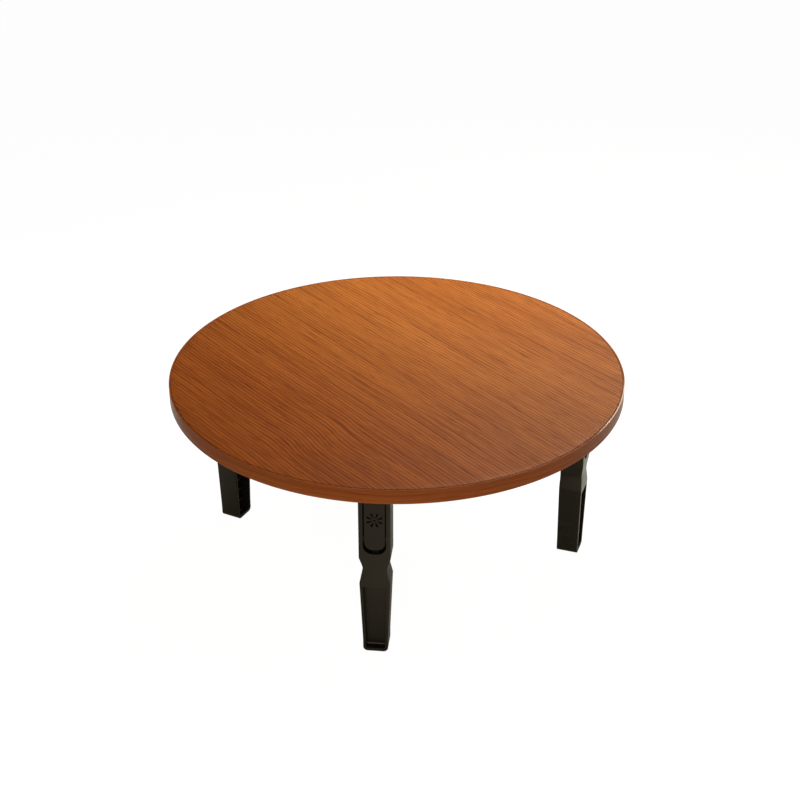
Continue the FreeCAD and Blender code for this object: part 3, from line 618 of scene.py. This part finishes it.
def put_in_scene(name, data):
    """A new object with its data, in the scene."""
    made = bpy.data.objects.new(name, data)
    bpy.context.scene.collection.objects.link(made)
    return made


def new_piece(name, mesh, body, slot, *nodes):
    """A finished mesh as a piece that rides on a body and stands for CAD nodes."""
    piece = put_in_scene(name, mesh)
    mesh.materials.clear()
    mesh.materials.append(MATERIALS[slot])
    if body:
        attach(piece, body)
    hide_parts(*nodes)
    return piece


def finished_mesh(piece):
    """The piece's mesh with its modifiers applied. The piece itself is removed."""
    graph = bpy.context.evaluated_depsgraph_get()
    mesh = bpy.data.meshes.new_from_object(piece.evaluated_get(graph), depsgraph=graph)
    bpy.data.objects.remove(piece)
    return mesh


@contextmanager
def edited(mesh):
    """Opens a mesh for changes, which it takes over at the end."""
    form = bmesh.new()
    form.from_mesh(mesh)
    yield form
    form.to_mesh(mesh)
    form.free()


def smooth_by_angle(mesh, degrees):
    """Smooth shading, but for edges that turn by more than an angle."""
    mesh.shade_smooth()
    mesh.set_sharp_from_angle(angle=math.radians(degrees))


def merged_copy(node):
    """A copy of a CAD node's mesh, its loose triangles joined and its flat faces made whole."""
    mesh = NODES[node].data.copy()
    if "custom_normal" in mesh.attributes:
        mesh.attributes.remove(mesh.attributes["custom_normal"])
    with edited(mesh) as form:
        bmesh.ops.remove_doubles(form, verts=form.verts, dist=MERGE_DISTANCE)
        bmesh.ops.dissolve_limit(form, angle_limit=math.radians(FLAT_ANGLE), verts=form.verts,
                                 edges=form.edges)
    return mesh


def softened_mesh(node, width):
    """A CAD node's mesh with its sharp edges rounded by a small bevel."""
    mesh = merged_copy(node)
    mesh.shade_smooth()
    piece = put_in_scene(node + "_softened", mesh)
    bevel = piece.modifiers.new("edges", "BEVEL")
    bevel.width = width
    bevel.segments = BEVEL_SEGMENTS
    bevel.limit_method = "ANGLE"
    bevel.angle_limit = math.radians(BEVEL_ANGLE)
    bevel.miter_outer = "MITER_ARC"
    bevel.harden_normals = True
    return finished_mesh(piece)


def lathe_mesh(name, profile, segments):
    """A closed solid turned about Z from a profile that starts and ends on the axis."""
    mesh = bpy.data.meshes.new(name)
    turns = [2 * math.pi * i / segments for i in range(segments)]
    with edited(mesh) as form:
        rings = []
        for radius, height in profile:
            around = [(radius * math.cos(t), radius * math.sin(t), height) for t in turns]
            places = around if radius else [(0, 0, height)]
            rings.append([form.verts.new(place) for place in places])
        for inner, outer in zip(rings, rings[1:]):
            for i in range(segments):
                j = (i + 1) % segments
                corners = [inner[i % len(inner)], inner[j % len(inner)],
                           outer[j % len(outer)], outer[i % len(outer)]]
                form.faces.new(list(dict.fromkeys(corners)))
        bmesh.ops.recalc_face_normals(form, faces=form.faces)
    return mesh


def geometry_tree(name, inputs):
    """A Geometry Nodes tree with named inputs, as (tree, its inputs, its outputs)."""
    tree = bpy.data.node_groups.new(name, "GeometryNodeTree")
    tree.interface.new_socket("Geometry", in_out="INPUT", socket_type="NodeSocketGeometry")
    for socket_name, kind in inputs.items():
        tree.interface.new_socket(socket_name, in_out="INPUT", socket_type=kind)
    tree.interface.new_socket("Geometry", in_out="OUTPUT", socket_type="NodeSocketGeometry")
    given = tree.nodes.new("NodeGroupInput").outputs
    result = tree.nodes.new("NodeGroupOutput").inputs
    return tree, given, result


def point_parts(tree):
    """The X, Y and Z of a geometry's points."""
    return parts_of(tree, add(tree, "GeometryNodeInputPosition").outputs[0])


def lifted(tree, geometry, height):
    """Geometry moved up by a height."""
    inputs = {"Geometry": geometry, "Translation": vector_of(tree, z=height)}
    return add(tree, "GeometryNodeTransform", inputs).outputs[0]


def finish_tree(tree, geometry, material, result):
    """Ends a tree in real geometry with a material."""
    real = add(tree, "GeometryNodeRealizeInstances", {0: geometry}).outputs[0]
    painted = add(tree, "GeometryNodeSetMaterial", {"Geometry": real, "Material": material}).outputs[0]
    give(tree, result, {"Geometry": painted})


def tree_mesh(name, tree, values, start=None):
    """What a Geometry Nodes tree makes with the values given by name, as a plain mesh."""
    piece = put_in_scene(name, start or bpy.data.meshes.new(name))
    modifier = piece.modifiers.new("nodes", "NODES")
    modifier.node_group = tree
    for item in tree.interface.items_tree:
        if item.item_type == "SOCKET" and item.in_out == "INPUT" and item.name in values:
            modifier[item.identifier] = values[item.name]
    return finished_mesh(piece)


def bent_band_tree():
    """A band bent to a ring: a rounded section carried along a circle."""
    tree, given, result = geometry_tree("bent_band", {
        "Radius": "NodeSocketFloat", "Thickness": "NodeSocketFloat", "Height": "NodeSocketFloat",
        "Foot": "NodeSocketFloat", "Top round": "NodeSocketFloat", "Foot round": "NodeSocketFloat",
        "Inner bevel": "NodeSocketFloat", "Segments": "NodeSocketInt", "Material": "NodeSocketMaterial"})
    section = add(tree, "GeometryNodeCurvePrimitiveQuadrilateral",
                  {"Width": given["Thickness"], "Height": given["Height"]}).outputs[0]
    corner = point_parts(tree)
    outer = calc(tree, "GREATER_THAN", corner["X"], 0.0)
    upper = calc(tree, "GREATER_THAN", corner["Y"], 0.0)
    outer_round = calc(tree, "ADD", calc(tree, "MULTIPLY", upper, given["Top round"]),
                       calc(tree, "MULTIPLY", calc(tree, "SUBTRACT", 1.0, upper), given["Foot round"]))
    inner_round = calc(tree, "MULTIPLY", upper, given["Inner bevel"])
    rounds = calc(tree, "ADD", calc(tree, "MULTIPLY", outer, outer_round),
                  calc(tree, "MULTIPLY", calc(tree, "SUBTRACT", 1.0, outer), inner_round))
    filleted = add(tree, "GeometryNodeFilletCurve",
                   {"Curve": section, "Count": BAND_ROUND_STEPS, "Radius": rounds}, mode="POLY").outputs[0]
    mirrored = add(tree, "GeometryNodeTransform",
                   {"Geometry": filleted, "Scale": (-1.0, 1.0, 1.0)}).outputs[0]
    path_radius = calc(tree, "SUBTRACT", given["Radius"], calc(tree, "MULTIPLY", given["Thickness"], 0.5))
    path = add(tree, "GeometryNodeCurvePrimitiveCircle",
               {"Resolution": given["Segments"], "Radius": path_radius}, mode="RADIUS").outputs[0]
    ring = add(tree, "GeometryNodeCurveToMesh", {"Curve": path, "Profile Curve": mirrored}).outputs[0]
    middle = calc(tree, "MULTIPLY_ADD", given["Height"], 0.5, given["Foot"])
    finish_tree(tree, lifted(tree, ring, middle), given["Material"], result)
    return tree


def make_band():
    """The edge band, its faces turned outward once it is a mesh."""
    values = {"Radius": TOP_RADIUS - HAIR, "Thickness": BAND_THICK, "Height": BAND_HIGH.z - BAND_LOW.z,
              "Foot": BAND_LOW.z, "Top round": BAND_TOP_ROUND, "Foot round": BAND_FOOT_ROUND,
              "Inner bevel": BAND_INNER_BEVEL, "Segments": RIM_SEGMENTS, "Material": MATERIALS["edge_wood"]}
    mesh = tree_mesh("band", bent_band_tree(), values)
    with edited(mesh) as form:
        bmesh.ops.recalc_face_normals(form, faces=form.faces)
    smooth_by_angle(mesh, RIM_SHARP_ANGLE)
    new_piece("edge_band_bent", mesh, "table", "edge_wood", "edge_band")


def make_veneer():
    """The veneer's disc, with its rim eased where it meets the band."""
    ease = VENEER_EDGE_ROUND
    rim, top = VENEER_RADIUS - ease, VENEER_HIGH.z - ease
    profile = [(0, VENEER_LOW.z), (VENEER_RADIUS, VENEER_LOW.z), (VENEER_RADIUS, top)]
    for step in range(1, VENEER_EDGE_STEPS + 1):
        turn = math.radians(90 * step / VENEER_EDGE_STEPS)
        profile.append((rim + ease * math.cos(turn), top + ease * math.sin(turn)))
    profile += [(VENEER_RADIUS * share, VENEER_HIGH.z) for share in VENEER_RINGS]
    profile.append((0, VENEER_HIGH.z))
    mesh = lathe_mesh("veneer", profile, RIM_SEGMENTS)
    smooth_by_angle(mesh, RIM_SHARP_ANGLE)
    new_piece("top_veneer_sheet", mesh, "table", "top_wood", "top_veneer")


def make_moulded_pieces():
    """Legs, tongues, brackets and pads with the small edge rounds that moulds and presses leave."""
    kinds = [
        ("leg_{}", "{}_leg", "leg_plastic"),
        ("release_tongue_{}", "{}_tongue", "tongue_plastic"),
        ("hinge_bracket_{}", "table", "bracket_paint"),
        ("foot_pad_{}", "{}_leg", "pad_rubber"),
    ]
    for leg in LEGS:
        for node, body, slot in kinds:
            name = node.format(leg)
            mesh = softened_mesh(name, EDGE_ROUNDS[slot])
            new_piece(name + "_finished", mesh, body.format(leg), slot, name)


def recessed_screw_tree():
    """Round-headed screws with a cross recess, driven in at the points of a mesh. Heads face +Z."""
    tree, given, result = geometry_tree("recessed_screws", {
        "Head radius": "NodeSocketFloat", "Head height": "NodeSocketFloat",
        "Shank radius": "NodeSocketFloat", "Length": "NodeSocketFloat", "Point": "NodeSocketFloat",
        "Recess width": "NodeSocketFloat", "Recess depth": "NodeSocketFloat", "Facing": "NodeSocketVector",
        "Random turn": "NodeSocketFloat", "Seed": "NodeSocketInt", "Material": "NodeSocketMaterial"})

    # The head: a flattened half ball, cut by two crossed bars
    ball = add(tree, "GeometryNodeMeshUVSphere",
               {"Segments": HEAD_SEGMENTS, "Rings": HEAD_RINGS, "Radius": 1.0}).outputs[0]
    where = point_parts(tree)
    crown = calc(tree, "POWER", calc(tree, "MAXIMUM", where["Z"], 0.0), HEAD_FULLNESS)
    dome = vector_of(tree, calc(tree, "MULTIPLY", where["X"], given["Head radius"]),
                     calc(tree, "MULTIPLY", where["Y"], given["Head radius"]),
                     calc(tree, "MULTIPLY", crown, given["Head height"]))
    head = add(tree, "GeometryNodeSetPosition", {"Geometry": ball, "Position": dome}).outputs[0]
    reach = calc(tree, "MULTIPLY", given["Head radius"], RECESS_REACH)
    deep = calc(tree, "MULTIPLY", given["Recess depth"], 2.0)
    cutter = add(tree, "GeometryNodeMeshBoolean", operation="UNION", solver="EXACT")
    for first, second in ((reach, given["Recess width"]), (given["Recess width"], reach)):
        size = vector_of(tree, first, second, deep)
        bar = add(tree, "GeometryNodeMeshCube", {"Size": size}).outputs[0]
        tree.links.new(lifted(tree, bar, given["Head height"]), cutter.inputs["Mesh 2"])
    recessed = add(tree, "GeometryNodeMeshBoolean", {"Mesh 1": head, "Mesh 2": cutter.outputs[0]},
                   operation="DIFFERENCE", solver="EXACT").outputs[0]

    # The shank and its point, below the head
    straight = calc(tree, "SUBTRACT", given["Length"], given["Point"])
    shank = add(tree, "GeometryNodeMeshCylinder", {
        "Vertices": SHANK_SIDES, "Radius": given["Shank radius"], "Depth": straight}).outputs[0]
    point = add(tree, "GeometryNodeMeshCone", {
        "Vertices": SHANK_SIDES, "Radius Top": given["Shank radius"], "Radius Bottom": 0.0,
        "Depth": given["Point"]}).outputs[0]
    screw = add(tree, "GeometryNodeJoinGeometry")
    for part in (recessed, lifted(tree, shank, calc(tree, "MULTIPLY", straight, -0.5)),
                 lifted(tree, point, calc(tree, "MULTIPLY", given["Length"], -1.0))):
        tree.links.new(part, screw.inputs[0])

    # One screw at each point of the mesh
    turn = add(tree, "FunctionNodeRandomValue", {2: 0.0, 3: given["Random turn"], "Seed": given["Seed"]},
               data_type="FLOAT").outputs[1]
    facing = add(tree, "ShaderNodeVectorMath", {0: given["Facing"], 1: vector_of(tree, z=turn)},
                 operation="ADD").outputs[0]
    points = add(tree, "GeometryNodeMeshToPoints", {0: given["Geometry"]}).outputs[0]
    placed = add(tree, "GeometryNodeInstanceOnPoints", {
        "Points": points, "Instance": screw.outputs[0], "Rotation": facing}).outputs[0]
    finish_tree(tree, placed, given["Material"], result)
    return tree


def leg_frame(leg):
    """A leg's hinge pin, and its outward and sideways directions, from its fold joint."""
    joint = next(j for j in frame["joints"] if j["name"] == "fold_" + leg)
    sideways = Vector(joint["axis"])
    return Vector(joint["pos_m"]), Vector((sideways.y, -sideways.x, 0)), sideways


def drive_screws(name, tree, places, body, node, facing, sizes):
    """Screws of one size at some places, as one piece."""
    start = bpy.data.meshes.new(name + "_places")
    start.from_pydata([tuple(place) for place in places], [], [])
    mesh = tree_mesh(name, tree, {**sizes, "Facing": facing, "Seed": SCREW_SEED,
                                  "Material": MATERIALS["zinc_steel"]}, start)
    smooth_by_angle(mesh, SMALL_SHARP_ANGLE)
    new_piece(name, mesh, body, "zinc_steel", node)


def make_screws():
    """The brackets' wood screws, and the screw behind each latch spring."""
    tree = recessed_screw_tree()
    heads = []
    for leg in LEGS:
        pin, outward, sideways = leg_frame(leg)
        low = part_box("hinge_bracket_" + leg)[1].z - PLATE_THICK
        for x in (-SCREW_ACROSS, SCREW_ACROSS):
            for y in (-SCREW_ALONG, SCREW_ALONG):
                place = pin + outward * x + sideways * y
                heads.append((place.x, place.y, low))
        screw_low, screw_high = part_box("latch_screw_" + leg)
        middle = (screw_low + screw_high) / 2
        seat = pin + outward * LATCH_SCREW_SEAT
        azimuth = math.atan2(outward.y, outward.x)
        drive_screws(f"latch_screw_{leg}_recessed", tree, [(seat.x, seat.y, middle.z)], leg + "_leg",
                     "latch_screw_" + leg, (0.0, -math.pi / 2, azimuth), LATCH_SCREW)
    drive_screws("bracket_screws_recessed", tree, heads, "table", "bracket_screws",
                 (math.pi, 0.0, 0.0), WOOD_SCREW)


def make_latch_springs():
    """The latch springs that the tongue's rib presses, cut across into bands, their hooks drawn in a little."""
    for leg in LEGS:
        node = "latch_spring_" + leg
        mesh = merged_copy(node)
        low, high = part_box(node)
        outward = leg_frame(leg)[1]
        with edited(mesh) as form:
            for step in range(1, SPRING_CUTS):
                height = low.z + (high.z - low.z) * step / SPRING_CUTS
                everything = form.verts[:] + form.edges[:] + form.faces[:]
                bmesh.ops.bisect_plane(form, geom=everything, plane_co=(0, 0, height), plane_no=(0, 0, 1))
            for vert in form.verts:
                share = (vert.co.z - high.z + HOOK_REACH) / (HOOK_REACH - HOOK_HEIGHT)
                vert.co -= outward * HOOK_DRAW * min(max(share, 0.0), 1.0)
        smooth_by_angle(mesh, SMALL_SHARP_ANGLE)
        spring = new_piece(node + "_bowed", mesh, None, "spring_steel", node)
        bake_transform(spring)


def paint_carried_nodes():
    """Procedural materials for the CAD nodes that show as they are."""
    slots = {part["node"]: part["material_slot"] for part in frame["record"]["subparts"]}
    for name, node in NODES.items():
        if node.hide_render:
            continue
        node.data.materials.clear()
        node.data.materials.append(MATERIALS[slots[name]])


def ray_kinds(tree):
    """Masks of the camera's own rays, and of mirrored and refracted ones."""
    rays = add(tree, "ShaderNodeLightPath").outputs
    return rays["Is Camera Ray"], calc(tree, "MAXIMUM", rays["Is Glossy Ray"], rays["Is Transmission Ray"])


def floor_material():
    """A pale floor that glows, and is lit a little so that it keeps the shadow.
    Mirrored, it is dark under the table and gets brighter to one side. From below it is clear."""
    material = bpy.data.materials.new("floor_pale")
    material.use_nodes = True
    tree = material.node_tree
    tree.nodes.remove(tree.nodes["Principled BSDF"])
    place = place_on_object(tree)
    under = ramped(tree, distance_from_axis(tree, place), *FLOOR_UNDER)
    sheen = calc(tree, "MULTIPLY", under, ramped(tree, dot(tree, place, FLOOR_BRIGHTENS), *FLOOR_LIT))
    camera_ray, mirrored = ray_kinds(tree)
    seen = calc(tree, "MAXIMUM", calc(tree, "MULTIPLY", camera_ray, FLOOR_SEEN),
                calc(tree, "MULTIPLY", mirrored, sheen))
    shaded = add(tree, "ShaderNodeBsdfDiffuse", {"Color": FLOOR_GREY}).outputs[0]
    glow = mixed(tree, mirrored, WHITE, FLOOR_MIRRORED)
    bright = add(tree, "ShaderNodeEmission", {"Color": glow, "Strength": FLOOR_GLOW}).outputs[0]
    pale = add(tree, "ShaderNodeMixShader", {0: seen, 1: shaded, 2: bright}).outputs[0]
    clear = add(tree, "ShaderNodeBsdfTransparent").outputs[0]
    below = add(tree, "ShaderNodeNewGeometry").outputs["Backfacing"]
    both = add(tree, "ShaderNodeMixShader", {0: below, 1: pale, 2: clear}).outputs[0]
    give(tree, tree.nodes["Material Output"].inputs, {"Surface": both})
    return material


def make_floor():
    """A flat disc that faces up."""
    mesh = bpy.data.meshes.new("floor")
    with edited(mesh) as form:
        bmesh.ops.create_circle(form, cap_ends=True, cap_tris=True, segments=FLOOR_SIDES,
                                radius=FLOOR_RADIUS)
        for face in form.faces:
            if face.normal.z < 0:
                face.normal_flip()
    mesh.materials.append(floor_material())
    floor = put_in_scene("floor", mesh)


def make_world():
    """White behind the object, and in its reflections a dim room that is open to the right."""
    world = bpy.data.worlds.new("studio")
    bpy.context.scene.world = world
    world.use_nodes = True
    tree = world.node_tree
    direction = parts_of(tree, add(tree, "ShaderNodeTexCoord").outputs["Generated"])
    camera_ray, mirrored = ray_kinds(tree)
    room = calc(tree, "MULTIPLY", ramped(tree, direction["Z"], *ROOM_UPWARD),
                ramped(tree, direction["X"], *ROOM_RIGHTWARD))
    ambient = ramped(tree, direction["Z"], *ROOM_AMBIENT)
    level = calc(tree, "ADD", calc(tree, "MULTIPLY", mirrored, room),
                 calc(tree, "MULTIPLY", calc(tree, "SUBTRACT", 1.0, mirrored), ambient))
    level = calc(tree, "MAXIMUM", level, camera_ray)
    give(tree, tree.nodes["Background"].inputs, {"Color": WHITE, "Strength": level})


def make_light(name, place, target, size, power, spread):
    """A round softbox aimed at a target, with a grid that narrows its beam to a spread in degrees."""
    lamp = bpy.data.lights.new(name, "AREA")
    lamp.shape = "DISK"
    lamp.size = size
    lamp.energy = power
    lamp.color = LAMP_COLOUR
    lamp.spread = math.radians(spread)
    light = put_in_scene(name, lamp)
    light.location = place
    light.rotation_mode = "QUATERNION"
    light.rotation_quaternion = (Vector(target) - Vector(place)).to_track_quat("-Z", "Y")


def make_studio():
    """Floor, room and lights."""
    make_floor()
    make_world()
    make_light("back_softbox", place=(0.35, 1.05, 1.75), target=(0.12, 0.45, 0.35), size=0.9,
               power=9.5, spread=80.0)
    make_light("front_softbox", place=(0.2, -3.1, 1.25), target=(0.0, 0.0, 0.20), size=2.0,
               power=40.0, spread=180.0)
    make_light("side_softbox", place=(0.95, 2.4, 1.6), target=(0.3, 0.0, 0.35), size=0.9,
               power=4.5, spread=120.0)


def make_camera():
    """The camera at the photograph's viewpoint."""
    data = bpy.data.cameras.new("viewpoint")
    data.sensor_width = SENSOR_WIDTH
    data.lens = FOCAL_LENGTH_PIXELS / IMAGE_PIXELS * SENSOR_WIDTH
    camera = put_in_scene("viewpoint", data)
    camera.location = CAMERA_PLACE
    camera.rotation_euler = (math.radians(CAMERA_TILT), 0.0, math.radians(CAMERA_TURN))
    bpy.context.scene.camera = camera
    bpy.context.scene.view_settings.view_transform = "Standard"


make_camera()
make_band()
make_veneer()
make_moulded_pieces()
make_screws()
make_latch_springs()
paint_carried_nodes()
make_studio()
